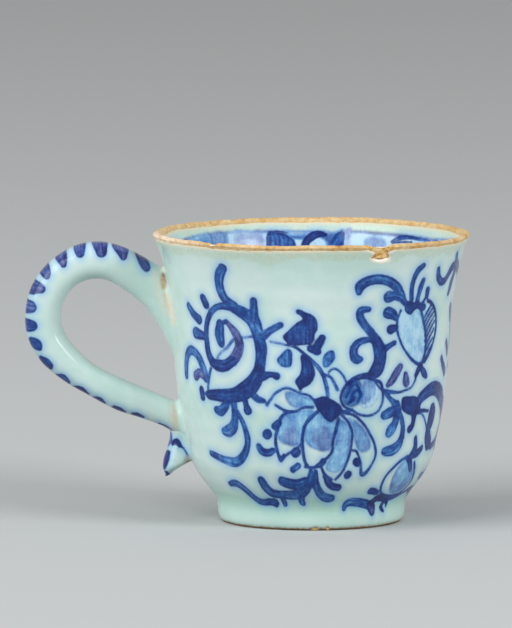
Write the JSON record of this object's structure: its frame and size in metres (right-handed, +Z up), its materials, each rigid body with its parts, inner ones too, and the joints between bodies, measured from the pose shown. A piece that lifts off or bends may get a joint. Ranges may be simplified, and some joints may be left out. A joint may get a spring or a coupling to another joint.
{
  "type": "coffee cup",
  "caption": "Small tin-glazed earthenware coffee cup with a flared lip, a turned foot, a looped handle with a pinched tail, and blue painted flowers.",
  "frame": {"origin": "on the table, under the middle of the whole cup's box, handle included", "axes": "+Z up along the cup's axis; the handle points to -X; the painted front faces -Y"},
  "size_m": [0.1076, 0.0766, 0.07],
  "materials": {
    "bare_clay": "matt fired clay, buff to ochre",
    "joining_slip": "matt brown slip",
    "painted_glaze": "glossy pale green-blue tin glaze, painted in cobalt blue",
    "plain_glaze": "glossy pale green-blue tin glaze"
  },
  "bodies": {
    "root": {"cup_wall": "bare_clay", "foot_ring": "bare_clay", "handle_strap": "bare_clay", "handle_tail": "bare_clay", "upper_handle_slip": "joining_slip", "lower_handle_slip": "joining_slip", "outside_glaze": "painted_glaze", "inside_glaze": "painted_glaze", "foot_glaze": "plain_glaze", "underside_glaze": "plain_glaze", "handle_glaze": "painted_glaze", "tail_glaze": "painted_glaze"}
  },
  "joints": []
}
